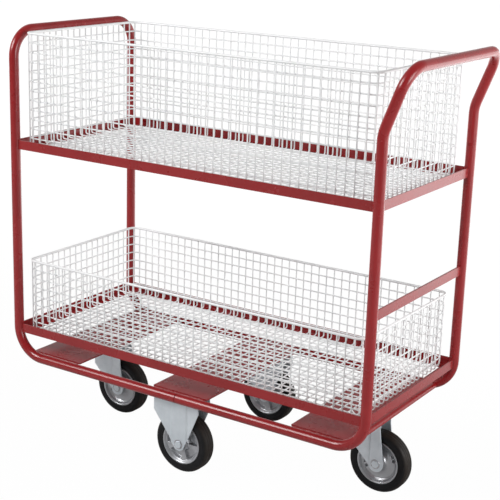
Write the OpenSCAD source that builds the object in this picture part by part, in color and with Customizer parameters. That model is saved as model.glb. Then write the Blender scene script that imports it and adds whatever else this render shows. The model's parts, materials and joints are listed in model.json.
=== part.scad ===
// Two-tier wire-basket order-picking trolley: two bent tube hoops, two angle-iron decks,
// two lift-out wire baskets and four castors in a diamond layout.
// Millimetres, +X towards the push handle, +Z up, origin on the floor under the middle.

/* [Tube frame] */
// Length between the upright axes
frame_l = 1125; // [900:5:1400]
// Width between the upright axes
frame_w = 510; // [450:5:600]
// Outside diameter of the frame tube
tube_d = 27; // [25:0.5:28]
// Wall of the frame tube
tube_t = 2; // [1.5:0.5:3]
// Height of the bottom tube's axis above the floor
bottom_z = 222; // [218:1:240]
// Height of the rear hoop's top axis
hoop_z = 1144; // [1142:1:1250]
// Bend radius at the foot of each upright
foot_r = 85; // [70:1:100]
// Bend radius at the top of the rear hoop
top_r = 72; // [60:1:90]
// Gap left at the seam between the two hoops
seam = 2; // [0:0.5:3]
// Length of each sleeve that joins the two hoops
spigot_l = 90; // [60:5:140]

/* [Push handle] */
// Height where the front uprights bend outwards
knee_z = 1005; // [960:1:1010]
// Length of the sloping arms, knee to handle bar
slant_l = 162.5; // [155:0.5:200]
// Bend radius of the knee
knee_r = 88; // [66:11:110]
// Bend radius at each end of the handle bar
handle_r = 58; // [50:1:70]

/* [Decks] */
// Height of the upright leg of a deck angle
rail_h = 25; // [20:1:30]
// Width of the flat leg of a deck angle
rail_w = 30; // [26:1:40]
// Thickness of a deck angle
rail_t = 3; // [2:0.5:4]
// Underside of the lower deck
lower_deck_z = 288.5; // [285:0.5:300]
// Underside of the upper deck
upper_deck_z = 821.5; // [800:0.5:825]
// Height of the cross bar's middle
bar_z = 567; // [540:1:620]
// Thickness of the flat cross bar
bar_t = 5; // [4:1:8]

/* [Baskets] */
// Wire centre to wire centre along the basket
basket_l = 1075; // [860:5:1085]
// Wire centre to wire centre across the basket
basket_w = 475; // [410:5:478]
// Height of the upper basket, floor wire to rim
upper_basket_h = 312; // [200:1:320]
// Height of the lower basket, floor wire to rim
lower_basket_h = 208; // [120:1:260]
// Width of one bar of the grille
bar_w = 3; // [2:0.5:4]
// Thickness of the grille, two crossing wires
grille_t = 5; // [4:0.5:6]
// Target spacing of the grille bars
grille_pitch = 50; // [40:5:80]
// Diameter of the rim rod
rim_d = 7; // [6:0.5:8]
// Plan radius of the rim's corners
rim_corner_r = 24; // [18:1:32]

/* [Castor plates] */
// Length of each castor plate along the trolley
plate_l = 175; // [165:1:190]
// Thickness of the castor plates
plate_t = 4; // [3:0.5:5]
// Depth of the down-turned lip on the end plates
lip_h = 12; // [10:1:26]
// Distance from an upright's axis to the end plate's outer edge
plate_inset = 40; // [20:1:45]

/* [Castors] */
// Diameter of the tyres
wheel_d = 170; // [160:1:172]
// Width of the tyres
wheel_w = 42; // [38:1:44]
// Diameter of the rims
rim_seat_d = 120; // [110:1:126]
// How far the swivel wheels trail behind their pivots
trail = 50; // [40:1:54]
// Distance between the inner faces of the fork arms
fork_gap = 50; // [49:0.5:54]
// Sheet thickness of the pressed brackets and forks
sheet_t = 3; // [2.5:0.5:3]
// Distance from a side tube's axis to the near face of a fixed bracket
bracket_inset = 14; // [13.5:0.5:20]
// Diameter of the axle bolts
axle_d = 12; // [10:1:12]

/* [Hidden] */
$fn = 64;

RED = [0.62, 0.12, 0.12];
WHITE = [0.93, 0.93, 0.92];
ZINC = [0.72, 0.75, 0.78];
SILVER = [0.66, 0.66, 0.66];
BLACK = [0.06, 0.06, 0.06];

play = 0.05;       // running clearance on a radius
gap = 0.1;         // clearance between fixed pieces that are welded or pressed together
lift = 0.3;        // face clearance where one piece turns on another

// The handle's sloping arms lean out by 352 mm in each metre of their length
slant_sin = 0.352;
slant_cos = 0.936;
knee_a = atan2(slant_sin, slant_cos);
knee_run = knee_r * slant_sin / (1 + slant_cos);
handle_reach = slant_l * slant_sin;

tube_r = tube_d / 2;
rear_x = -(frame_l + handle_reach) / 2;
front_x = rear_x + frame_l;
mid_x = rear_x + frame_l / 2;
side_y = frame_w / 2;
foot_z = bottom_z + foot_r;         // the uprights are straight above this

rail_out = 2;                       // the angles' outer face stands this far out of the upright axes
rail_in = rail_t - rail_out;

wheel_r = wheel_d / 2;
plate_top = bottom_z + tube_r;
plate_half_y = side_y - tube_r - gap;
mount_z = plate_top - plate_t;      // the castors hang from here
head_t = 3.5;                       // thickness of the castors' own top plates
head_z = mount_z - head_t;
arm_y = fork_gap / 2;
fixed_y = side_y - bracket_inset - arm_y - sheet_t;
end_plate_x = frame_l / 2 - plate_inset - plate_l / 2;
rear_pivot_x = mid_x - end_plate_x;
front_pivot_x = mid_x + end_plate_x;
crown_z = head_z - 15;              // top of the swivel forks
crown_t = 5;
pin_r = 6;                          // king pin
sleeve_r = 10;
hub_bore_r = 13.5;

lower_floor_z = lower_deck_z + rail_t;
upper_floor_z = upper_deck_z + rail_t;
wire_r = 1.5;
lower_rim_z = lower_floor_z + wire_r + lower_basket_h;
upper_rim_z = upper_floor_z + wire_r + upper_basket_h;

// ---- tubes ----

module tube_ring() {
    difference() {
        circle(r = tube_r);
        circle(r = tube_r - tube_t);
    }
}

// Straight tube from the origin along +Z
module tube_run(length) {
    linear_extrude(length) tube_ring();
}

// Sweeps a section from the origin along +Z, turning towards +X
module bend(radius, angle) {
    translate([radius, 0, 0]) rotate([90, 0, 180])
        rotate_extrude(angle = angle) translate([radius, 0]) children();
}

// Top of a hoop in its own plane: up from z0 to the corner, then across to y = side_y
module hoop_top(z0, z1, radius) {
    translate([0, 0, z0]) tube_run(z1 - radius - z0);
    translate([0, 0, z1 - radius]) rotate([0, 0, 90]) bend(radius, 90) tube_ring();
    translate([0, radius, z1]) rotate([-90, 0, 0]) tube_run(side_y - radius);
}

// Bottom half-rail and foot bend; turn is 0 for the rear hoop and 180 for the handle hoop
module hoop_foot(turn) {
    rotate([0, 0, turn]) {
        translate([0, 0, foot_z]) rotate([180, 0, 0]) bend(foot_r, 90) tube_ring();
        translate([foot_r, 0, bottom_z]) rotate([0, 90, 0]) tube_run((frame_l - seam) / 2 - foot_r);
    }
}

module both_sides() {
    children();
    mirror([0, 1, 0]) children();
}

module rear_hoop() {
    color(RED) both_sides() translate([rear_x, -side_y, 0]) {
        hoop_foot(0);
        hoop_top(foot_z, hoop_z, top_r);
    }
}

module handle_hoop() {
    color(RED) both_sides() translate([front_x, -side_y, 0]) {
        hoop_foot(180);
        translate([0, 0, foot_z]) tube_run(knee_z - knee_run - foot_z);
        translate([0, 0, knee_z - knee_run]) bend(knee_r, knee_a) tube_ring();
        translate([0, 0, knee_z]) rotate([0, knee_a, 0]) hoop_top(knee_run, slant_l, handle_r);
    }
}

// Sleeves inside the bottom tubes, across the seam between the hoops
module joint_spigots() {
    spigot_r = tube_r - tube_t - gap;
    color(RED) both_sides() translate([mid_x - spigot_l / 2, -side_y, bottom_z]) rotate([0, 90, 0])
        difference() {
            cylinder(r = spigot_r, h = spigot_l);
            translate([0, 0, -1]) cylinder(r = spigot_r - tube_t, h = spigot_l + 2);
        }
}

// ---- decks ----

// Space of the four uprights and their foot bends, from height z up
module post_holes(z) {
    hole_r = tube_r + gap / 2;
    hole_z = max(z - 1, foot_z);
    for (x = [rear_x, front_x], y = [-side_y, side_y])
        translate([x, y, hole_z]) cylinder(r = hole_r, h = rail_h + 2);
    for (y = [-side_y, side_y]) {
        translate([rear_x, y, foot_z]) rotate([180, 0, 0]) bend(foot_r, 90) circle(r = hole_r);
        translate([front_x, y, foot_z]) rotate([180, 0, 180]) bend(foot_r, 90) circle(r = hole_r);
    }
}

// Angle along the near side: upright leg outside, flat leg inwards at the bottom
module side_rail(z) {
    color(RED) difference() {
        translate([rear_x + rail_in, -side_y - rail_out, z]) {
            cube([frame_l - 2 * rail_in, rail_w, rail_t]);
            cube([frame_l - 2 * rail_in, rail_t, rail_h]);
        }
        post_holes(z);
    }
}

// Angle across the rear end; its flat leg fits between the flat legs of the side angles
module end_rail(z) {
    flat_y = side_y + rail_out - rail_w;
    color(RED) difference() {
        translate([rear_x - rail_out, 0, z]) {
            translate([0, -side_y, 0]) cube([rail_t, frame_w, rail_h]);
            translate([0, -flat_y, 0]) cube([rail_w, 2 * flat_y, rail_t]);
        }
        post_holes(z);
    }
}

// Turns a rear-end piece round to the front end
module at_front() {
    translate([rear_x + front_x, 0, 0]) mirror([1, 0, 0]) children();
}

module cross_bar() {
    color(RED) difference() {
        translate([front_x - bar_t / 2, -side_y, bar_z - rail_h / 2]) cube([bar_t, frame_w, rail_h]);
        post_holes(bar_z - rail_h / 2);
    }
}

// ---- castor plates ----

// Flat plate between the bottom tubes, over the two fixed castors
module middle_castor_plate() {
    color(RED) translate([mid_x - plate_l / 2, -plate_half_y, mount_z])
        cube([plate_l, 2 * plate_half_y, plate_t]);
}

// Plate over the rear swivel castor, with its outer edge folded down
module rear_castor_plate() {
    fold_r = 2 * plate_t;
    color(RED) translate([rear_pivot_x - plate_l / 2, plate_half_y, plate_top - lip_h])
        rotate([90, 0, 0]) linear_extrude(2 * plate_half_y) {
            square([plate_t, lip_h - fold_r]);
            translate([fold_r, lip_h - plate_t]) square([plate_l - fold_r, plate_t]);
            translate([fold_r, lip_h - fold_r]) intersection() {
                difference() {
                    circle(r = fold_r);
                    circle(r = fold_r - plate_t);
                }
                translate([-fold_r, 0]) square(fold_r);
            }
        }
}

// ---- baskets ----

// Flat grille in the XY plane, length by width, with its bars at about the target spacing
module grille(length, width) {
    nx = round(length / grille_pitch);
    ny = round(width / grille_pitch);
    px = (length - bar_w) / nx;
    py = (width - bar_w) / ny;
    linear_extrude(grille_t) difference() {
        square([length, width]);
        for (i = [0:nx - 1], j = [0:ny - 1])
            translate([i * px + bar_w, j * py + bar_w]) square([px - bar_w, py - bar_w]);
    }
}

module basket_floor(floor_z) {
    color(WHITE) translate([mid_x - basket_l / 2 - wire_r, -basket_w / 2 - wire_r, floor_z])
        grille(basket_l + 2 * wire_r, basket_w + 2 * wire_r);
}

// Near and far walls, between the rounded corners
module basket_sides(floor_z, rim_z) {
    straight = basket_l - 2 * rim_corner_r;
    wall_z = floor_z + grille_t;
    color(WHITE) both_sides()
        translate([mid_x - straight / 2, -basket_w / 2 + grille_t - wire_r, wall_z])
            rotate([90, 0, 0]) grille(straight, rim_z - rim_d / 2 - gap - wall_z);
}

// Rear and front walls, between the rounded corners
module basket_ends(floor_z, rim_z) {
    straight = basket_w - 2 * rim_corner_r;
    wall_z = floor_z + grille_t;
    color(WHITE) for (x = [-basket_l / 2 - wire_r, basket_l / 2 + wire_r - grille_t])
        translate([mid_x + x, -straight / 2, wall_z])
            rotate([90, 0, 90]) grille(straight, rim_z - rim_d / 2 - gap - wall_z);
}

// Rim rod bent round the top of the basket
module basket_rim(rim_z) {
    half_l = basket_l / 2 - rim_corner_r;
    half_w = basket_w / 2 - rim_corner_r;
    color(WHITE) translate([mid_x, 0, rim_z]) for (side = [0, 1]) mirror([side, 0, 0]) {
        translate([half_l + rim_corner_r, half_w, 0]) rotate([90, 0, 0])
            cylinder(d = rim_d, h = 2 * half_w);
        for (end = [0, 1]) mirror([0, end, 0]) {
            translate([half_l, half_w, 0]) rotate_extrude(angle = 90)
                translate([rim_corner_r, 0]) circle(d = rim_d);
            translate([0, half_w + rim_corner_r, 0]) rotate([0, 90, 0])
                cylinder(d = rim_d, h = half_l);
        }
    }
}

// ---- castors: every module below is drawn round its own axle or pivot ----

// Angle at which a line from point p touches a circle of radius r round the origin
function touch(p, r, side) = atan2(p[1], p[0]) - side * acos(r / norm(p));

// Outline of a fork arm round the axle: wide at the top, round at the bottom
module arm_outline(x_left, x_right, top, z_left, z_right, boss_r) {
    web_r = boss_r - 0.2;
    a_left = touch([x_left, z_left], web_r, -1);
    a_right = touch([x_right, z_right], web_r, 1);
    circle(r = boss_r);
    polygon([
        [x_left, top], [x_left, z_left],
        [web_r * cos(a_left), web_r * sin(a_left)], [0, 0],
        [web_r * cos(a_right), web_r * sin(a_right)],
        [x_right, z_right], [x_right, top]
    ]);
}

// Both arms of a fork, drilled for the axle bolt
module arms(x_left, x_right, top, z_left, z_right, boss_r) {
    for (y = [-arm_y, arm_y + sheet_t]) translate([0, y, 0]) rotate([90, 0, 0])
        linear_extrude(sheet_t) difference() {
            arm_outline(x_left, x_right, top, z_left, z_right, boss_r);
            circle(r = axle_d / 2 + play);
        }
}

// Fixed bracket, welded under the middle plate: two arms folded down from a flat top
module bracket(y) {
    x_left = -86;
    x_right = 60;
    z_left = 82;                    // corners of the arms over the axle
    z_right = 98;
    color(ZINC) translate([mid_x, y, 0]) {
        translate([0, 0, wheel_r])
            arms(x_left, x_right, mount_z - wheel_r, z_left, z_right, 18);
        translate([x_left, -arm_y - sheet_t, head_z])
            cube([x_right - x_left, fork_gap + 2 * sheet_t, head_t]);
    }
}

// Hex bolt through the arms, with its nut
module axle_bolt(x, y) {
    head_h = 7;
    nut_h = 9;
    hex_r = 0.87 * axle_d;
    out = arm_y + sheet_t;
    color(ZINC) translate([x, y, wheel_r]) rotate([-90, 0, 0]) {
        translate([0, 0, -out - head_h]) cylinder(r = hex_r, h = head_h, $fn = 6);
        translate([0, 0, -out]) cylinder(d = axle_d, h = 2 * out + nut_h + 3);
        translate([0, 0, out + play]) difference() {
            cylinder(r = hex_r, h = nut_h, $fn = 6);
            translate([0, 0, -1]) cylinder(r = axle_d / 2 + play, h = nut_h + 2);
        }
    }
}

// Tube clamped between the arms, on which the wheel turns
module axle_sleeve(x, y) {
    color(ZINC) translate([x, y, wheel_r]) rotate([90, 0, 0]) difference() {
        cylinder(r = sleeve_r, h = fork_gap - 2 * play, center = true);
        cylinder(r = axle_d / 2 + play, h = fork_gap + 2, center = true);
    }
}

// Roller cage between the sleeve and the hub
module bearing(x, y) {
    color(SILVER) translate([x, y, wheel_r]) rotate([90, 0, 0]) difference() {
        cylinder(r = hub_bore_r - play, h = 40, center = true);
        cylinder(r = sleeve_r + play, h = 42, center = true);
    }
}

// Pressed rim: hub tube, dished web and the well that holds the tyre
module rim(x, y) {
    seat_r = rim_seat_d / 2 - gap;
    well_t = 3;
    hub_r = 20;
    web_t = 3;
    color(SILVER) translate([x, y, wheel_r]) rotate([90, 0, 0]) rotate_extrude() {
        translate([hub_bore_r, -arm_y + 0.5]) square([hub_r - hub_bore_r, fork_gap - 1]);
        translate([seat_r - well_t, 2 - wheel_w / 2]) square([well_t, wheel_w - 4]);
        polygon([
            [hub_r, -web_t], [seat_r - 3 * well_t, -3 * web_t], [seat_r - well_t, -3 * web_t],
            [seat_r - well_t, 3 * web_t], [seat_r - 3 * well_t, 3 * web_t], [hub_r, web_t]
        ]);
    }
}

// Solid rubber tyre with rounded shoulders
module tyre(x, y) {
    shoulder_r = 12;
    inner_r = rim_seat_d / 2;
    flat_w = wheel_w - 2 * shoulder_r;
    color(BLACK) translate([x, y, wheel_r]) rotate([90, 0, 0]) rotate_extrude() {
        translate([inner_r, -wheel_w / 2]) square([wheel_r - shoulder_r - inner_r, wheel_w]);
        translate([inner_r, -flat_w / 2]) square([wheel_r - inner_r, flat_w]);
        for (s = [-1, 1]) translate([wheel_r - shoulder_r, s * flat_w / 2]) circle(r = shoulder_r);
    }
}

// Top plate of a swivel castor, welded under its castor plate and drilled for the king pin
module top_plate(x) {
    color(ZINC) difference() {
        translate([x - 67.5, -52.5, head_z]) cube([135, 105, head_t]);
        translate([x, 0, head_z - 1]) cylinder(r = pin_r + play, h = head_t + 2);
    }
}

// King pin: its head carries the fork, its shank is riveted into the top plate
module king_pin(x) {
    neck_z = crown_z - crown_t - lift;
    pin_head_t = 5;
    color(ZINC) translate([x, 0, 0]) {
        translate([0, 0, neck_z - pin_head_t]) cylinder(r = 11, h = pin_head_t);
        translate([0, 0, neck_z]) cylinder(r = pin_r, h = mount_z - neck_z);
    }
}

// Ball race housing under the top plate
module ball_race(x) {
    color(ZINC) translate([x, 0, crown_z + lift]) difference() {
        union() {
            cylinder(r = 43, h = 7);
            translate([0, 0, 7]) cylinder(r = 37, h = head_z - crown_z - lift - 7);
        }
        translate([0, 0, -1]) cylinder(r = 24, h = head_z - crown_z + 2);
    }
}

// Swivel fork: flat crown and two arms that trail behind the pivot, with a deep rear wing
module fork(x) {
    x_left = -38;
    x_right = 58;
    z_left = 58;                    // corners of the arms over the axle
    z_right = 100;
    color(ZINC) difference() {
        translate([x, 0, 0]) {
            translate([trail, 0, wheel_r])
                arms(x_left - trail, x_right - trail, crown_z - wheel_r, z_left, z_right, 22);
            translate([x_left, -arm_y - sheet_t, crown_z - crown_t])
                cube([x_right - x_left, fork_gap + 2 * sheet_t, crown_t]);
        }
        translate([x, 0, crown_z - crown_t - 1]) cylinder(r = pin_r + play, h = crown_t + 2);
    }
}

rear_hoop();
handle_hoop();
joint_spigots();
side_rail(upper_deck_z);  // upper_near_rail
mirror([0, 1, 0]) side_rail(upper_deck_z);  // upper_far_rail
end_rail(upper_deck_z);  // upper_rear_rail
at_front() end_rail(upper_deck_z);  // upper_front_rail
side_rail(lower_deck_z);  // lower_near_rail
mirror([0, 1, 0]) side_rail(lower_deck_z);  // lower_far_rail
end_rail(lower_deck_z);  // lower_rear_rail
at_front() end_rail(lower_deck_z);  // lower_front_rail
cross_bar();
rear_castor_plate();
middle_castor_plate();
at_front() rear_castor_plate();  // front_castor_plate
basket_rim(upper_rim_z);  // upper_basket_rim
basket_sides(upper_floor_z, upper_rim_z);  // upper_basket_sides
basket_ends(upper_floor_z, upper_rim_z);  // upper_basket_ends
basket_floor(upper_floor_z);  // upper_basket_floor
basket_rim(lower_rim_z);  // lower_basket_rim
basket_sides(lower_floor_z, lower_rim_z);  // lower_basket_sides
basket_ends(lower_floor_z, lower_rim_z);  // lower_basket_ends
basket_floor(lower_floor_z);  // lower_basket_floor
bracket(-fixed_y);  // near_bracket
axle_bolt(mid_x, -fixed_y);  // near_axle_bolt
axle_sleeve(mid_x, -fixed_y);  // near_axle_sleeve
bearing(mid_x, -fixed_y);  // near_bearing
rim(mid_x, -fixed_y);  // near_rim
tyre(mid_x, -fixed_y);  // near_tyre
bracket(fixed_y);  // far_bracket
mirror([0, 1, 0]) axle_bolt(mid_x, -fixed_y);  // far_axle_bolt
axle_sleeve(mid_x, fixed_y);  // far_axle_sleeve
bearing(mid_x, fixed_y);  // far_bearing
rim(mid_x, fixed_y);  // far_rim
tyre(mid_x, fixed_y);  // far_tyre
top_plate(rear_pivot_x);  // rear_top_plate
king_pin(rear_pivot_x);  // rear_king_pin
ball_race(rear_pivot_x);  // rear_ball_race
fork(rear_pivot_x);  // rear_fork
axle_bolt(rear_pivot_x + trail, 0);  // rear_axle_bolt
axle_sleeve(rear_pivot_x + trail, 0);  // rear_axle_sleeve
bearing(rear_pivot_x + trail, 0);  // rear_bearing
rim(rear_pivot_x + trail, 0);  // rear_rim
tyre(rear_pivot_x + trail, 0);  // rear_tyre
top_plate(front_pivot_x);  // front_top_plate
king_pin(front_pivot_x);  // front_king_pin
ball_race(front_pivot_x);  // front_ball_race
fork(front_pivot_x);  // front_fork
axle_bolt(front_pivot_x + trail, 0);  // front_axle_bolt
axle_sleeve(front_pivot_x + trail, 0);  // front_axle_sleeve
bearing(front_pivot_x + trail, 0);  // front_bearing
rim(front_pivot_x + trail, 0);  // front_rim
tyre(front_pivot_x + trail, 0);  // front_tyre
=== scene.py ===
# %% [markdown]
# # A two-tier wire-basket trolley
# The CAD model gives the exact frame: two bent tube hoops, two decks of angle iron, two baskets
# and four castors. This lesson puts the real surfaces on that frame: welded wire, pressed sheet
# steel, moulded rubber, weld beads, and a finish for each of them.

# %% Load the frame
import json
import math

import bmesh
import bpy
import numpy as np
from mathutils import Matrix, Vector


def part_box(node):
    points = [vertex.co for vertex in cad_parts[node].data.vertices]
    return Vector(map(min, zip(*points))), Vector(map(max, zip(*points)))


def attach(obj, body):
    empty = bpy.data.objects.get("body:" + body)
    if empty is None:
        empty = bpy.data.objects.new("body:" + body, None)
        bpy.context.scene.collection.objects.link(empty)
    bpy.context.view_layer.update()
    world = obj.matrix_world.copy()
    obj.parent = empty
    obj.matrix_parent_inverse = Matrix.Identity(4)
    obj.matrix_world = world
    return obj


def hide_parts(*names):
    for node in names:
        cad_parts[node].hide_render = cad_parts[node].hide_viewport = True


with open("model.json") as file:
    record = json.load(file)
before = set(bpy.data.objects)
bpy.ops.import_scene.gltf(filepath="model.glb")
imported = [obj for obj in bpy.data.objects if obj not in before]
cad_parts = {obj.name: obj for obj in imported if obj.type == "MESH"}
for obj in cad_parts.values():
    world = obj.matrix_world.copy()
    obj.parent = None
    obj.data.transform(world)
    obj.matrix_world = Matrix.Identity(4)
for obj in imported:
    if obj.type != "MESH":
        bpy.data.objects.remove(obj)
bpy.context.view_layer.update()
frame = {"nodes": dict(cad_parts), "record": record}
NODES = frame["nodes"]
MM = 0.001

# %% [markdown]
# ## The camera
# A long lens from the front corner at about eye height keeps the uprights nearly parallel. The
# camera is set by its three axes, which is exact and needs no aiming empty.

# %% Camera
LENS_MM = 89.5
EYE = (1.7846, -2.7366, 1.5043)
RIGHT = (0.83584, 0.54811, 0.03070)
UP = (-0.17384, 0.21123, 0.96185)
BACK = (0.52071, -0.80929, 0.27184)
camera = bpy.data.objects.new("camera", bpy.data.cameras.new("camera"))
bpy.context.scene.collection.objects.link(camera)
bpy.context.scene.camera = camera
camera.data.lens = LENS_MM
camera.data.sensor_width = 36.0
camera.data.clip_end = 200.0
camera.matrix_world = Matrix.Translation(EYE) @ Matrix((RIGHT, UP, BACK)).transposed().to_4x4()
print("camera at", tuple(round(v, 3) for v in camera.location))

# %% [markdown]
# ## Surfaces as grids
# Every new piece is a grid of points, worked out as one numpy array, and the same small function
# joins neighbouring points into four-sided faces. A grid may close on itself in either
# direction, as a tube does.


# %% Grid and mesh helpers
def grid_quads(rows, cols, wrap_rows=False, wrap_cols=False):
    """Faces of a grid: point (i, j) is joined to (i, j+1), (i+1, j+1) and (i+1, j)."""
    i = np.arange(rows if wrap_rows else rows - 1)[:, None]
    j = np.arange(cols if wrap_cols else cols - 1)[None, :]
    i1, j1 = (i + 1) % rows, (j + 1) % cols
    quad = (i * cols + j, i * cols + j1, i1 * cols + j1, i1 * cols + j)
    return np.stack([np.broadcast_to(q, (i.size, j.size)) for q in quad], -1).reshape(-1, 4)


def cap_quads(ring):
    """Closes an even ring with a strip of faces that runs from one side to the other."""
    i = np.arange(len(ring) // 2 - 1)
    ring = np.asarray(ring)
    return np.stack([ring[i], ring[i + 1], ring[len(ring) - 2 - i], ring[len(ring) - 1 - i]], -1)


def make_mesh(name, shells, sharp=40.0, merge=0.0, outward=True):
    """Joins shells of (points, faces) into one smooth mesh with sharp edges over an angle."""
    points = np.concatenate([p.reshape(-1, 3) for p, _ in shells])
    starts = np.cumsum([0] + [p.size // 3 for p, _ in shells[:-1]])
    faces = np.concatenate([f + s for (_, f), s in zip(shells, starts)])
    mesh = bpy.data.meshes.new(name)
    mesh.vertices.add(len(points))
    mesh.vertices.foreach_set("co", points.astype(np.float32).ravel())
    mesh.loops.add(faces.size)
    mesh.loops.foreach_set("vertex_index", faces.astype(np.int32).ravel())
    mesh.polygons.add(len(faces))
    mesh.polygons.foreach_set("loop_start", np.arange(0, faces.size, 4, dtype=np.int32))
    mesh.update(calc_edges=True)
    work = bmesh.new()
    work.from_mesh(mesh)
    if merge:
        bmesh.ops.remove_doubles(work, verts=work.verts, dist=merge)
    if outward:
        bmesh.ops.recalc_face_normals(work, faces=work.faces)
    work.to_mesh(mesh)
    work.free()
    mesh.polygons.foreach_set("use_smooth", np.ones(len(mesh.polygons), bool))
    mesh.set_sharp_from_angle(angle=math.radians(sharp))
    return mesh


def add_piece(name, mesh, body, finish, replaced=()):
    """Places a mesh in the scene, on its body, with its finish."""
    piece = bpy.data.objects.new(name, mesh)
    bpy.context.scene.collection.objects.link(piece)
    piece.data.materials.append(finish)
    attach(piece, body)
    if replaced:
        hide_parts(*replaced)
    print(f"{name}: {len(mesh.polygons)} faces on {body}")
    return piece


# %% [markdown]
# ## Finishes
# Each finish is a node material. Three effects are shared, so they are shader node groups: the
# fine grain and slow clouding of a sprayed coat, the scuffs of use, and the streaks of rolled
# sheet. A group hands back only numbers. The shader itself stays in each material.


# %% Node helpers
def new_group(name, inputs, outputs):
    """A shader node group with named number sockets."""
    group = bpy.data.node_groups.new(name, "ShaderNodeTree")
    for label, value in inputs.items():
        socket = group.interface.new_socket(label, in_out="INPUT", socket_type="NodeSocketFloat")
        socket.default_value = value
    for label in outputs:
        group.interface.new_socket(label, in_out="OUTPUT", socket_type="NodeSocketFloat")
    return group, group.nodes.new("NodeGroupInput"), group.nodes.new("NodeGroupOutput")


def add_node(tree, kind, links=(), **values):
    """Adds a node, sets its properties and socket values, and links its inputs."""
    node = tree.nodes.new(kind)
    for key, value in values.items():
        if key in node.inputs:
            node.inputs[key].default_value = value
        else:
            setattr(node, key, value)
    for key, source in links:
        tree.links.new(source, node.inputs[key])
    return node


# %% Shared effects
coat_group, g_in, g_out = new_group(
    "sprayed_coat", {"Grain": 900.0, "Cloud": 6.0}, ("Height", "Clouding"))
where = add_node(coat_group, "ShaderNodeTexCoord").outputs["Object"]
grain = add_node(coat_group, "ShaderNodeTexNoise",
                 [("Vector", where), ("Scale", g_in.outputs["Grain"])], Detail=3.0, Roughness=0.55)
cloud = add_node(coat_group, "ShaderNodeTexNoise",
                 [("Vector", where), ("Scale", g_in.outputs["Cloud"])], Detail=4.0, Roughness=0.6)
coat_group.links.new(grain.outputs["Fac"], g_out.inputs["Height"])
coat_group.links.new(cloud.outputs["Fac"], g_out.inputs["Clouding"])

SCUFF_START, SCUFF_FULL = 0.66, 0.74
scuff_group, g_in, g_out = new_group("scuffs", {"Scale": 38.0, "Amount": 0.5}, ("Mask",))
where = add_node(scuff_group, "ShaderNodeTexCoord").outputs["Object"]
squeeze = add_node(scuff_group, "ShaderNodeMapping", [("Vector", where)])
squeeze.inputs["Scale"].default_value = (1.0, 1.0, 0.35)
patch = add_node(scuff_group, "ShaderNodeTexNoise", [("Vector", squeeze.outputs[0]),
                                                     ("Scale", g_in.outputs["Scale"])],
                 Detail=8.0, Roughness=0.75)
edge = add_node(scuff_group, "ShaderNodeMapRange", [("Value", patch.outputs["Fac"])],
                interpolation_type="SMOOTHSTEP")
edge.inputs["From Min"].default_value = SCUFF_START
edge.inputs["From Max"].default_value = SCUFF_FULL
amount = add_node(scuff_group, "ShaderNodeMath",
                  [(0, edge.outputs[0]), (1, g_in.outputs["Amount"])], operation="MULTIPLY")
scuff_group.links.new(amount.outputs[0], g_out.inputs["Mask"])

streak_group, g_in, g_out = new_group(
    "rolled_streaks", {"Along": 8.0, "Across": 420.0}, ("Streaks",))
where = add_node(streak_group, "ShaderNodeTexCoord").outputs["Object"]
scale = add_node(streak_group, "ShaderNodeCombineXYZ", [("X", g_in.outputs["Across"]),
                                                        ("Y", g_in.outputs["Across"]),
                                                        ("Z", g_in.outputs["Along"])])
spread = add_node(streak_group, "ShaderNodeVectorMath", [(0, where), (1, scale.outputs[0])],
                  operation="MULTIPLY")
lines = add_node(streak_group, "ShaderNodeTexNoise", [("Vector", spread.outputs[0])], Scale=1.0,
                 Detail=3.0, Roughness=0.6)
streak_group.links.new(lines.outputs["Fac"], g_out.inputs["Streaks"])
print("groups", [g.name for g in bpy.data.node_groups])


# %% Material builder
def use_group(tree, group, **values):
    """Places a shared effect in a material with its own values."""
    node = tree.nodes.new("ShaderNodeGroup")
    node.node_tree = group
    for key, value in values.items():
        node.inputs[key].default_value = value
    return node


def blend_colour(tree, factor, first, second):
    """Colour between two colours, or between a socket and a colour, by a factor."""
    mix = tree.nodes.new("ShaderNodeMix")
    mix.data_type = "RGBA"
    tree.links.new(factor, mix.inputs["Factor"])
    for key, value in (("A", first), ("B", second)):
        socket = [s for s in mix.inputs if s.name == key and s.type == "RGBA"][0]
        if isinstance(value, tuple):
            socket.default_value = (*value, 1.0)
        else:
            tree.links.new(value, socket)
    return [s for s in mix.outputs if s.type == "RGBA"][0]


def remap(tree, source, low, high, start=0.3, end=0.7):
    """Number from low to high as the source goes from start to end."""
    node = tree.nodes.new("ShaderNodeMapRange")
    tree.links.new(source, node.inputs["Value"])
    for key, value in (("From Min", start), ("From Max", end), ("To Min", low), ("To Max", high)):
        node.inputs[key].default_value = value
    return node.outputs[0]


def new_finish(name, metallic=0.0, coat=0.0, specular=0.5):
    """An empty node material, its tree and its shader, with the constant values set on it."""
    finish = bpy.data.materials.new(name)
    finish.use_nodes = True
    tree = finish.node_tree
    shader = tree.nodes["Principled BSDF"]
    shader.inputs["Metallic"].default_value = metallic
    shader.inputs["Coat Weight"].default_value = coat
    shader.inputs["Coat Roughness"].default_value = 0.12
    shader.inputs["Specular IOR Level"].default_value = specular
    return finish, tree, shader


def add_bump(tree, shader, height, distance, strength=1.0):
    """Feeds a height to the shader's normal."""
    bump = tree.nodes.new("ShaderNodeBump")
    bump.inputs["Distance"].default_value = distance
    bump.inputs["Strength"].default_value = strength
    tree.links.new(height, bump.inputs["Height"])
    tree.links.new(bump.outputs[0], shader.inputs["Normal"])


# %% [markdown]
# ### Red powder coat
# Powder is sprayed dry and baked, so it flows into a soft gloss with a faint orange peel. The
# colour shifts slowly over the tube, and handling leaves a few pale scuffs.


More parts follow.
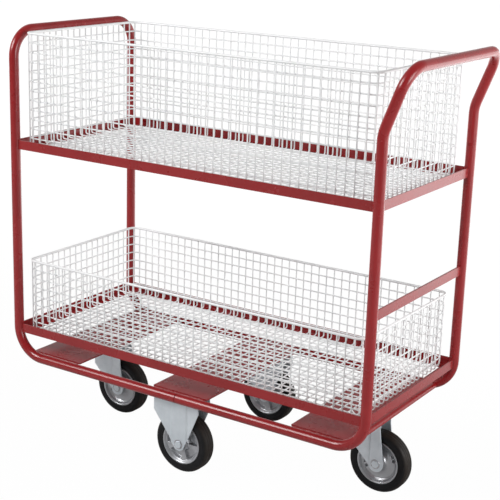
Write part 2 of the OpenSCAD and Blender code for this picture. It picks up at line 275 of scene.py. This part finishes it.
# %% Coated finishes
def coated(name, deep, light, scuffed, rough, grain_depth, scuff_amount, coat):
    """Sprayed coat: clouded colour, pale scuffs, roughness that follows both, and a fine grain."""
    finish, tree, shader = new_finish(name, coat=coat, specular=0.4)
    spray = use_group(tree, coat_group, Grain=900.0, Cloud=7.0)
    marks = use_group(tree, scuff_group, Scale=38.0, Amount=scuff_amount)
    base = blend_colour(tree, remap(tree, spray.outputs["Clouding"], 0.0, 1.0), deep, light)
    worn = blend_colour(tree, marks.outputs["Mask"], base, scuffed)
    tree.links.new(worn, shader.inputs["Base Color"])
    tree.links.new(remap(tree, spray.outputs["Clouding"], *rough), shader.inputs["Roughness"])
    add_bump(tree, shader, spray.outputs["Height"], grain_depth)
    return finish


frame_red = coated("frame_red_powder", (0.230, 0.0095, 0.011), (0.285, 0.013, 0.015),
                   (0.36, 0.06, 0.055), (0.22, 0.32), 0.00004, 0.20, 0.12)
basket_white = coated("basket_white_epoxy", (0.75, 0.76, 0.77), (0.83, 0.83, 0.83),
                      (0.58, 0.58, 0.57), (0.30, 0.42), 0.00003, 0.25, 0.15)
print("coats", frame_red.name, basket_white.name)


# %% [markdown]
# ### Metals and rubber
# Bright zinc has a blue cast and a cloudy, streaked look from the rolled sheet under it. The
# wheel discs are sprayed silver. The tyres are black rubber that goes a little brown where it
# meets the floor, which is read from an attribute stored on the tyre's own points.


# %% Metals
def metal(name, dark, bright, rough, metallic, streak, along, across, coat=0.0):
    """Metal with slow clouding of its colour, fine streaks and a roughness that follows them."""
    finish, tree, shader = new_finish(name, metallic=metallic, coat=coat)
    spray = use_group(tree, coat_group, Grain=1400.0, Cloud=22.0)
    sheet = use_group(tree, streak_group, Along=along, Across=across)
    marks = use_group(tree, scuff_group, Scale=60.0, Amount=0.2)
    base = blend_colour(tree, remap(tree, spray.outputs["Clouding"], 0.0, 1.0), dark, bright)
    worn = blend_colour(tree, marks.outputs["Mask"], base, tuple(0.7 * v for v in dark))
    tree.links.new(worn, shader.inputs["Base Color"])
    tree.links.new(remap(tree, sheet.outputs["Streaks"], *rough), shader.inputs["Roughness"])
    add_bump(tree, shader, sheet.outputs["Streaks"], streak)
    return finish


zinc_plate = metal("zinc_plate", (0.60, 0.65, 0.69), (0.71, 0.76, 0.80), (0.34, 0.50), 0.60,
                   0.00005, 10.0, 380.0)
rim_silver = metal("rim_silver", (0.42, 0.43, 0.45), (0.50, 0.51, 0.53), (0.32, 0.42), 0.80,
                   0.000008, 160.0, 160.0, 0.1)
plain_steel = metal("plain_steel", (0.40, 0.40, 0.42), (0.52, 0.52, 0.54), (0.25, 0.40), 0.90,
                    0.00002, 60.0, 500.0)

# %% Rubber
rubber_black, tree, shader = new_finish("rubber_black", specular=0.22)
spray = use_group(tree, coat_group, Grain=700.0, Cloud=30.0)
marks = use_group(tree, scuff_group, Scale=90.0, Amount=0.6)
tread = add_node(tree, "ShaderNodeAttribute", attribute_name="tread")
dust = add_node(tree, "ShaderNodeMath", [(0, tread.outputs["Fac"]), (1, spray.outputs["Clouding"])],
                operation="MULTIPLY")
base = blend_colour(tree, dust.outputs[0], (0.006, 0.006, 0.007), (0.030, 0.022, 0.016))
worn = blend_colour(tree, marks.outputs["Mask"], base, (0.024, 0.023, 0.022))
tree.links.new(worn, shader.inputs["Base Color"])
tree.links.new(remap(tree, spray.outputs["Clouding"], 0.42, 0.60), shader.inputs["Roughness"])
add_bump(tree, shader, spray.outputs["Height"], 0.00012)
FINISH = {"frame_red": frame_red, "basket_white": basket_white, "zinc_plate": zinc_plate,
          "rim_silver": rim_silver, "plain_steel": plain_steel, "rubber_black": rubber_black}
print("finishes", sorted(FINISH))

# %% [markdown]
# ### The CAD nodes
# The tubes, angles, plates, pins and bolts already have their true shape, so they stay and only
# take the finish that the record names for them.

# %% Finish the CAD nodes
for part in frame["record"]["subparts"]:
    node = NODES[part["node"]]
    node.data.materials.clear()
    node.data.materials.append(FINISH[part["material_slot"]])

# %% [markdown]
# ## Welded wire baskets
# A real basket is welded from straight and bent wires: crosswise and lengthwise wires that run
# down one wall, under the floor and up the other wall, level wires round the walls, and a thick
# rod round the rim. Each wire could be a curve object, but a few hundred of them are lighter as
# one mesh, swept along paths by one function.


# %% Sweeping a round section
def sweep(path, across, radius, sides=8, closed=False):
    """Tube round a path. At each point there is a ring of radius r in the plane square to the
    path: its first axis is the cross product of the given vector and the path's direction, and
    its second is square to both."""
    path = np.asarray(path, float)
    if closed:
        along = np.roll(path, -1, 0) - np.roll(path, 1, 0)
    else:
        along = np.gradient(path, axis=0)
    along /= np.linalg.norm(along, axis=1, keepdims=True)
    first = np.cross(across, along)
    first /= np.linalg.norm(first, axis=1, keepdims=True)
    second = np.cross(along, first)
    turn = np.arange(sides) * 2 * np.pi / sides
    radius = np.broadcast_to(radius, len(path))[:, None, None]
    cos, sin = np.cos(turn)[None, :, None], np.sin(turn)[None, :, None]
    ring = cos * first[:, None] + sin * second[:, None]
    points = path[:, None] + radius * ring
    faces = grid_quads(len(path), sides, closed, True)
    if not closed:
        start = np.arange(sides)
        end = start + (len(path) - 1) * sides
        faces = np.concatenate([faces, cap_quads(start[::-1]), cap_quads(end)])
    return points, faces


def rounded_loop(half_x, half_y, radius, steps=5):
    """Rectangle with rounded corners in plan: each corner is a quarter circle about its centre."""
    turn = np.linspace(0, np.pi / 2, steps)[None, :] + np.arange(4)[:, None] * np.pi / 2
    sx = np.array([1, -1, -1, 1])[:, None]
    sy = np.array([1, 1, -1, -1])[:, None]
    x = sx * (half_x - radius) + radius * np.cos(turn)
    y = sy * (half_y - radius) + radius * np.sin(turn)
    return np.stack([x.ravel(), y.ravel()], -1)


def hung_wire(half, top, bottom, radius, steps=4):
    """Wire in a U: down a wall, round a quarter circle, across the floor, and up the other wall."""
    turn = np.linspace(0, np.pi / 2, steps)
    side = -half + radius * (1 - np.cos(turn))
    height = bottom + radius * (1 - np.sin(turn))
    left = np.concatenate([[[-half, top]], np.stack([side, height], -1)])
    return np.concatenate([left, left[::-1] * [-1, 1]])


# %% Basket wires
WIRE_R = 1.9 * MM
ROD_R = 3.5 * MM
MESH = 25.0 * MM
ROW_PITCH = 26 * MM
CORNER_R = 24 * MM
LAYER = 3.0 * MM
WIRE_BEND = 6 * MM
FLOOR_LIFT = 1.5 * MM
TIE_BEND = 8 * MM
TIE_REACH = 45 * MM


def rim_plan(name):
    """Middle of a basket's rim, and half its size in plan to the middle of the rod."""
    low, high = (np.array(c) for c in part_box(f"{name}_rim"))
    return (low + high) / 2, (high - low)[:2] / 2 - ROD_R


def corner_ties(centre, half, rim_z, floor):
    """A wire at each corner, from the rim down and a little way under the floor."""
    out = half - CORNER_R + CORNER_R * math.sqrt(0.5)
    turn = np.linspace(0, np.pi / 2, 5)
    reach = np.concatenate([[0], TIE_BEND * (1 - np.cos(turn)), [TIE_REACH]])
    z = np.concatenate([[rim_z], floor + TIE_BEND * (1 - np.sin(turn)), [floor]])
    shells = []
    for sx in (-1, 1):
        for sy in (-1, 1):
            path = np.column_stack([centre[0] + sx * (out[0] - reach), sy * (out[1] - reach), z])
            shells.append(sweep(path, (sy, -sx, 0), WIRE_R))
    return shells


def weave_basket(name):
    """All wires of one basket as one mesh, placed by the CAD rim and floor."""
    centre, half = rim_plan(name)
    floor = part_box(f"{name}_floor")[0].z + FLOOR_LIFT
    rim_z = centre[2]
    shells = []
    for x in np.arange(-20.5, 21) * MESH:
        u = hung_wire(half[1], rim_z, floor, WIRE_BEND)
        path = np.stack([np.full(len(u), centre[0] + x), u[:, 0], u[:, 1]], -1)
        shells.append(sweep(path, (1, 0, 0), WIRE_R))
    for y in np.arange(-8.5, 9) * MESH:
        u = hung_wire(half[0], rim_z, floor + LAYER, WIRE_BEND)
        path = np.stack([centre[0] + u[:, 0], np.full(len(u), y), u[:, 1]], -1)
        shells.append(sweep(path, (0, 1, 0), WIRE_R))
    rows = round((rim_z - floor) / ROW_PITCH)
    inner = rounded_loop(half[0] - LAYER, half[1] - LAYER, CORNER_R - LAYER)
    for z in floor + (rim_z - floor) * np.arange(1, rows) / rows:
        path = np.column_stack([centre[0] + inner[:, 0], inner[:, 1], np.full(len(inner), z)])
        shells.append(sweep(path, (0, 0, 1), WIRE_R, closed=True))
    return shells + corner_ties(centre, half, rim_z, floor)


for name in ("upper_basket", "lower_basket"):
    centre, half = rim_plan(name)
    add_piece(f"{name}_wires", make_mesh(f"{name}_wires", weave_basket(name), 60.0), name,
              basket_white, (f"{name}_sides", f"{name}_ends", f"{name}_floor"))
    loop = rounded_loop(half[0], half[1], CORNER_R, 9)
    path = np.column_stack([centre[0] + loop[:, 0], loop[:, 1], np.full(len(loop), centre[2])])
    rod = sweep(path, (0, 0, 1), ROD_R, 16, True)
    add_piece(f"{name}_rim_rod", make_mesh(f"{name}_rim_rod", [rod], 60.0), name,
              basket_white, (f"{name}_rim",))

# %% [markdown]
# ## Wheels
# The tyre and the pressed disc are surfaces of revolution: a closed profile turned about the
# axle. The fixed castors' discs have five pressed pockets between broad spokes, and the swivel
# castors' discs have a smooth dish with four small dimples. Both are the same turned surface with
# the depth changed by a function of radius and angle.


# %% Turned surfaces
def smooth_step(x, low, high):
    """0 below low, 1 above high, and 3t^2 - 2t^3 between."""
    t = np.clip((np.asarray(x, float) - low) / (high - low), 0, 1)
    return t * t * (3 - 2 * t)


def even_profile(points, spacing):
    """Points along a polyline at about an even spacing, with every corner kept."""
    points = np.asarray(points, float)
    pieces = []
    for a, b in zip(points[:-1], points[1:]):
        count = max(1, int(round(np.linalg.norm(b - a) / spacing)))
        pieces.append(a + (b - a) * np.arange(count)[:, None] / count)
    return np.concatenate(pieces + [points[-1:]])


def turned(profile, centre, steps, shape=None):
    """Closed profile of (radius, width) turned about the axle: x = r cos, z = r sin, y = width.
    A shape function may change the width by radius and angle."""
    angle = np.arange(steps) * 2 * np.pi / steps
    radius, width = (profile[:, k, None] + np.zeros(steps) for k in (0, 1))
    if shape is not None:
        width = shape(radius, width, angle[None, :])
    points = np.stack([radius * np.cos(angle), width, radius * np.sin(angle)], -1) * MM
    return points + np.asarray(centre), grid_quads(len(profile), steps, True, True)


def mirrored_profile(half):
    """Closes a profile of one side with its mirror image on the other side."""
    half = np.asarray(half, float)
    return np.concatenate([half, half[::-1] * [1, -1]])


# %% Disc and tyre shapes
POCKETS, POCKET_TURN, POCKET_DEPTH = 5, 0.15, 0.62
DIMPLE_R, DIMPLE_TURN, DIMPLE_APART, DIMPLE_DEPTH = 42, 22, 8, 0.75


def spoked(radius, width, angle):
    """Five pockets pressed 8 mm inwards between the hub and the lip, with soft edges: the width
    is scaled down where a step in radius and a step in angle are both on."""
    radial = smooth_step(radius, 22, 26) * (1 - smooth_step(radius, 46, 50))
    sector = np.abs((angle / (2 * np.pi) * POCKETS + POCKET_TURN) % 1.0 - 0.5)
    pocket = radial * (1 - smooth_step(sector, 0.29, 0.35))
    return width * (1 - POCKET_DEPTH * pocket)


def dished(radius, width, angle):
    """Two opposite pairs of round dimples, 6 mm deep, 42 mm from the axle and 12 mm apart."""
    turn = np.degrees(angle) % 180 - DIMPLE_TURN
    turn = np.abs(np.abs((turn + 90) % 180 - 90) - DIMPLE_APART)
    away = np.hypot(radius - DIMPLE_R, np.radians(turn) * DIMPLE_R)
    return width * (1 - DIMPLE_DEPTH * (1 - smooth_step(away, 2.6, 4.0)))


HUB = [(13.5, -24.3), (19.3, -24.3), (20, -23.4)]
LIP = [(54.0, -18.0), (55.2, -19.8), (56.8, -20.8), (58.6, -20.9), (59.6, -20.2), (59.9, -18.5)]
FLAT_WEB = [(20.6, -17), (22.0, -14.5), (27, -13.5), (44, -13.5), (51, -14.5)]
DISHED_WEB = [(20.8, -17), (23.5, -13.0), (29, -9.5), (37, -8.2), (46, -9.2), (51.5, -13.0)]
PROFILE_STEP = 1.3
fixed_half = even_profile(HUB + FLAT_WEB + LIP, PROFILE_STEP)
swivel_half = even_profile(HUB + DISHED_WEB + LIP, PROFILE_STEP)
round_out = np.radians(np.linspace(0, 90, 9))
tyre_half = np.concatenate([
    [(60.05, -17.5), (60.3, -19.6), (61.5, -20.6), (64, -20.9), (67, -20.6), (68, -20.9),
     (73, -20.9)],
    np.stack([73 + 12 * np.sin(round_out[1:]), -9 - 11.9 * np.cos(round_out[1:])], -1),
    [(85, -6), (84.7, -5.2), (84.7, -4.6), (85, -3.8)]])
print("profiles", len(fixed_half), len(swivel_half), len(tyre_half))


# %% Build the wheels
TREAD_FROM, TREAD_TO = 76, 83


def build_wheel(name, half, shape):
    """Disc and tyre of one wheel, centred on the CAD tyre."""
    low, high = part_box(f"{name}_tyre")
    centre = (low + high) / 2
    disc = turned(mirrored_profile(half), centre, 192, shape)
    add_piece(f"{name}_disc", make_mesh(f"{name}_disc", [disc], 38.0), f"{name}_wheel",
              rim_silver, (f"{name}_rim",))
    profile = mirrored_profile(tyre_half)
    mesh = make_mesh(f"{name}_tyre_rubber", [turned(profile, centre, 128)], 38.0)
    place = np.empty(len(mesh.vertices) * 3, np.float32)
    mesh.vertices.foreach_get("co", place)
    away = np.linalg.norm(place.reshape(-1, 3)[:, ::2] - np.array(centre)[::2], axis=1) / MM
    mesh.attributes.new("tread", "FLOAT", "POINT").data.foreach_set(
        "value", smooth_step(away, TREAD_FROM, TREAD_TO).astype(np.float32))
    add_piece(f"{name}_tyre_rubber", mesh, f"{name}_wheel", rubber_black,
              (f"{name}_tyre",))


for name in ("near", "far"):
    build_wheel(name, fixed_half, spoked)
for name in ("rear", "front"):
    build_wheel(name, swivel_half, dished)

# %% [markdown]
# ## Pressed brackets and forks
# Each bracket is one sheet of steel folded into a U: arm, bend, top, bend, arm. So it is one
# grid: one direction runs along the U, the other runs across the sheet between its two edges.
# A raised panel is pressed down the middle of each arm to stiffen it, which shows as a sharp
# step. Solidify gives the wall and a small bevel softens the sheared edges.


# %% Folded sheet
SLOPE = 6.0
PRESS = 3.6
ARM_FACE = 28.0
SHEET_REACH = 95
SHEET_WALL = 3.0 * MM
EDGE_SOFT = 0.5 * MM


def arm_edge(z, corner, boss, side):
    """Edge of an arm at height z over the axle: upright above the corner (x, z), then a
    straight line that touches the round boss, then the boss circle. Side is -1 on the left and
    1 on the right."""
    corner_x, corner_z = corner
    angle = math.atan2(corner_z, corner_x) - side * math.acos(boss / math.hypot(*corner))
    touch_x, touch_z = boss * math.cos(angle), boss * math.sin(angle)
    line = corner_x + (touch_x - corner_x) * (corner_z - z) / (corner_z - touch_z)
    circle = side * np.sqrt(np.maximum(boss**2 - z**2, 0.0))
    return np.where(z >= corner_z, corner_x, np.where(z >= touch_z, line, circle))


def folded_sheet(left, right, top, boss, panel, half_gap=ARM_FACE, bend=7.0):
    """Outer surface of the folded sheet, in millimetres from the axle. The path up the near arm,
    over the top and down the far arm is found first, then the points across it."""
    corners = [c for c in sorted({left[1], right[1]}) if c < top - bend]
    up = np.unique(np.concatenate([-boss * np.cos(np.linspace(0.03, np.pi / 2, 16)),
                                   np.linspace(3, top - bend, 34), corners]))
    turn = np.linspace(0, np.pi / 2, 7)[1:]
    y = np.concatenate([np.full(len(up), -half_gap), -half_gap + bend * (1 - np.cos(turn))])
    z = np.concatenate([up, top - bend + bend * np.sin(turn)])
    out_y = np.concatenate([np.full(len(up), -1.0), -np.cos(turn)])
    press = np.concatenate([1 - smooth_step(up, top - bend - 9, top - bend - 2), 0 * turn])
    y, z, out_y, press = (np.concatenate([a, s * a[::-1]]) for a, s in
                          ((y, -1), (z, 1), (out_y, -1), (press, 1)))
    inner = np.linspace(panel[0] + 3, panel[1] - 3, 14)
    step = np.linspace(0, SLOPE, 7)
    columns = np.concatenate([
        np.linspace(-SHEET_REACH, panel[0] - SLOPE - 1, 14), panel[0] - step[::-1], inner,
        panel[1] + step, np.linspace(panel[1] + SLOPE + 1, SHEET_REACH, 14)])
    low_x, high_x = arm_edge(z, left, boss, -1), arm_edge(z, right, boss, 1)
    x = np.clip(columns[None, :], low_x[:, None], high_x[:, None])
    rise = smooth_step(x, panel[0] - SLOPE, panel[0])
    raised = rise * (1 - smooth_step(x, panel[1], panel[1] + SLOPE))
    offset = PRESS * raised * press[:, None] * out_y[:, None]
    points = np.stack([x, y[:, None] + offset, z[:, None] + 0 * x], -1)
    return points, grid_quads(len(z), len(columns))


def build_sheet(name, node, body, axle, points, faces):
    """One folded sheet with its wall, in place over its axle."""
    mesh = make_mesh(name, [(points * MM + np.asarray(axle), faces)], 32.0, 0.02 * MM, False)
    piece = add_piece(name, mesh, body, zinc_plate, (node,))
    wall = piece.modifiers.new("wall", "SOLIDIFY")
    wall.thickness, wall.offset = SHEET_WALL, -1.0
    soft = piece.modifiers.new("soft_edges", "BEVEL")
    soft.width, soft.segments, soft.limit_method = EDGE_SOFT, 2, "ANGLE"
    soft.angle_limit = math.radians(50)


def axle_of(name):
    """Middle of a castor's axle, from its CAD tyre."""
    low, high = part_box(f"{name}_tyre")
    return np.array((low + high) / 2)


WASHER = np.array([(6.4, 0), (13.0, 0), (13.4, 0.5), (13.0, 1.0), (6.4, 1.0)])
WASHER_FACE = ARM_FACE + PRESS + 0.05


def build_washers(name, body, axle):
    """A chamfered washer under the bolt's head and one under its nut, on the pressed panels."""
    shells = [turned(WASHER * [1, side] + [0, side * WASHER_FACE], axle, 32) for side in (-1, 1)]
    add_piece(f"{name}_axle_washers", make_mesh(f"{name}_axle_washers", shells), body,
              plain_steel)


# Each sheet: its left and right corners (x, height) over the axle, its boss radius, its panel.
BRACKET = ((-86, 82), (60, 98), 18, (-24, 21))
FORK = ((-88, 58), (8, 100), 22, (-17, 60))


def build_castor_steel(name, node, body, shape):
    """Washers and folded sheet of one castor, the sheet as high as the CAD node it replaces."""
    axle = axle_of(name)
    left, right, boss, panel = shape
    build_washers(name, body, axle)
    top = (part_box(node)[1].z - axle[2]) / MM
    build_sheet(f"{node}_pressing", node, body, axle,
                *folded_sheet(left, right, top, boss, panel))


for name in ("near", "far"):
    build_castor_steel(name, f"{name}_bracket", "frame", BRACKET)
for name in ("rear", "front"):
    build_castor_steel(name, f"{name}_fork", f"{name}_swivel", FORK)

# %% [markdown]
# ## Weld beads
# The angles, the cross bar and the castor plates are welded to the tubes. A bead is a thin
# round section whose radius ripples along its path, as the weld pool freezes in steps. The
# paint covers it, so it takes the frame's red.


# %% Beads
def bead(start, end, across, radius, pitch=3.2):
    """Rippled bar from start to end: radius grows and shrinks by a tenth every pitch, and
    tapers at both ends."""
    start, end = np.asarray(start, float), np.asarray(end, float)
    length = np.linalg.norm(end - start)
    count = max(8, int(length / (pitch * MM) * 4))
    t = np.linspace(0, 1, count)
    ripple = 1 + 0.09 * np.sin(t * length / (pitch * MM) * 2 * np.pi)
    taper = np.sqrt(np.clip(np.minimum(t, 1 - t) * length / (1.5 * radius), 0.05, 1))
    return sweep(start + (end - start) * t[:, None], across, radius * ripple * taper)


TUBE_R = 13.5 * MM
HALF_BAR = 2.5 * MM
SHORTER = 1 * MM
RAIL_BEAD, BAR_BEAD, PLATE_BEAD = 1.6 * MM, 1.7 * MM, 3.6 * MM
ON_TUBE, PAST_MIDDLE = 13.6 * MM, 1.2 * MM
rear_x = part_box("rear_hoop")[0].x + TUBE_R
front_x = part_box("cross_bar")[0].x + HALF_BAR
side_y = -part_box("rear_hoop")[0].y - TUBE_R


def upright_bead(x, y, low_z, high_z, radius):
    """Bead that runs up a post, a millimetre short at both ends."""
    return bead((x, y, low_z + SHORTER), (x, y, high_z - SHORTER), (1, 0, 0), radius)


def plate_bead(low, high, side):
    """Bead along the end of a castor plate, in the corner under its top face and the tube."""
    y, z = side * (side_y - 10.2 * MM), high.z - 3.9 * MM
    return bead((low.x + 4 * MM, y, z), (high.x - 4 * MM, y, z), (0, 0, 1), PLATE_BEAD, 4.5)


# %% Weld the frame
beads = []
for deck in ("upper", "lower"):
    low_z, high_z = (c.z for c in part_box(f"{deck}_near_rail"))
    for post_x, inward in ((rear_x, 1), (front_x, -1)):
        for side in (-1, 1):
            beads.append(upright_bead(post_x + inward * ON_TUBE, side * (side_y + PAST_MIDDLE),
                                      low_z, high_z, RAIL_BEAD))
            beads.append(upright_bead(post_x - inward * PAST_MIDDLE, side * (side_y - ON_TUBE),
                                      low_z, high_z, RAIL_BEAD))
low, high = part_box("cross_bar")
for side in (-1, 1):
    for x in (low.x, high.x):
        beads.append(upright_bead(x, side * (side_y - 13.2 * MM), low.z, high.z, BAR_BEAD))
for plate in ("rear", "middle", "front"):
    low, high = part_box(f"{plate}_castor_plate")
    beads += [plate_bead(low, high, side) for side in (-1, 1)]
print("beads", len(beads))
add_piece("weld_beads", make_mesh("weld_beads", beads, 60.0), "frame", frame_red)

# %% [markdown]
# ## Floor and light
# A wide pale floor fills the view, and looks plain white to the camera, while its light on the
# trolley is soft and comes mostly from the far side. The sky gives most of the light, a large soft
# panel from the upper left draws the thin highlights along the tubes, and a weaker one lights the
# handle end.


# %% A light panel
def add_panel(name, place, size, power, aim):
    """A square soft light at a place, turned to face a point."""
    lamp = bpy.data.lights.new(name, "AREA")
    lamp.shape, lamp.size, lamp.energy = "SQUARE", size, power
    panel = bpy.data.objects.new(name, lamp)
    bpy.context.scene.collection.objects.link(panel)
    back = np.subtract(place, aim)
    back = back / np.linalg.norm(back)
    right = np.cross((0, 0, 1), back)
    right /= np.linalg.norm(right)
    panel.matrix_world = Matrix.Translation(place) @ Matrix(
        (right, np.cross(back, right), back)).transposed().to_4x4()


# %% Floor
REACH = 60.0
WHITE_SHARE = 0.985
floor_mesh = bpy.data.meshes.new("floor")
floor_mesh.from_pydata([(-REACH, -REACH, 0), (REACH, -REACH, 0), (REACH, REACH, 0),
                        (-REACH, REACH, 0)], [], [(0, 1, 2, 3)])
floor = bpy.data.objects.new("floor", floor_mesh)
bpy.context.scene.collection.objects.link(floor)
floor_paint, tree, shader = new_finish("floor_paint")
shader.inputs["Base Color"].default_value = (0.55, 0.55, 0.55, 1)
shader.inputs["Roughness"].default_value = 0.9
shader.inputs["Emission Color"].default_value = (1, 1, 1, 1)
spot = add_node(tree, "ShaderNodeSeparateXYZ",
                [(0, add_node(tree, "ShaderNodeTexCoord").outputs["Object"])])
far_glow = remap(tree, spot.outputs["Y"], 0.0, 2.3, 0.4, 2.6)
tree.links.new(far_glow, shader.inputs["Emission Strength"])
glow = add_node(tree, "ShaderNodeEmission", Strength=1.0)
seen = add_node(tree, "ShaderNodeLightPath")
share = add_node(tree, "ShaderNodeMath", [(0, seen.outputs["Is Camera Ray"])],
                 operation="MULTIPLY")
share.inputs[1].default_value = WHITE_SHARE
blend = add_node(tree, "ShaderNodeMixShader", [(0, share.outputs[0]), (1, shader.outputs[0]),
                                               (2, glow.outputs[0])])
under = add_node(tree, "ShaderNodeNewGeometry")
clear = add_node(tree, "ShaderNodeBsdfTransparent")
whole = add_node(tree, "ShaderNodeMixShader", [(0, under.outputs["Backfacing"]),
                                               (1, blend.outputs[0]), (2, clear.outputs[0])])
tree.links.new(whole.outputs[0], tree.nodes["Material Output"].inputs["Surface"])
floor_mesh.materials.append(floor_paint)
print("floor", 2 * REACH, "m wide")

# %% Sky and panels
sky = bpy.data.worlds.new("sky")
sky.use_nodes = True
tree = sky.node_tree
ray = add_node(tree, "ShaderNodeSeparateXYZ",
               [(0, add_node(tree, "ShaderNodeTexCoord").outputs["Generated"])])
room = remap(tree, ray.outputs["Y"], 0.22, 1.0, -0.9, 0.3)
height = remap(tree, ray.outputs["Z"], 1.0, 0.35, 0.02, 0.55)
both = add_node(tree, "ShaderNodeMath", [(0, room), (1, height)], operation="MULTIPLY")
seen = add_node(tree, "ShaderNodeLightPath")
above = remap(tree, ray.outputs["Z"], 0.0, 1.0, -0.01, 0.0)
backdrop = add_node(tree, "ShaderNodeMath", [(0, seen.outputs["Is Camera Ray"]), (1, above)],
                    operation="MULTIPLY")
strength = add_node(tree, "ShaderNodeMath", [(0, both.outputs[0]), (1, backdrop.outputs[0])],
                    operation="ADD")
tree.links.new(strength.outputs[0], tree.nodes["Background"].inputs["Strength"])
tree.nodes["Background"].inputs["Color"].default_value = (1, 1, 1, 1)
bpy.context.scene.world = sky
MIDDLE = (0, 0, 0.6)
PANEL_SIZE = 2.2
add_panel("key_panel", (-2.6, -3.4, 3.6), PANEL_SIZE, 230.0, MIDDLE)
add_panel("fill_panel", (4.4, -0.5, 1.6), PANEL_SIZE, 130.0, MIDDLE)
bpy.context.scene.view_settings.view_transform = "Standard"
bpy.context.scene.view_settings.look = "None"
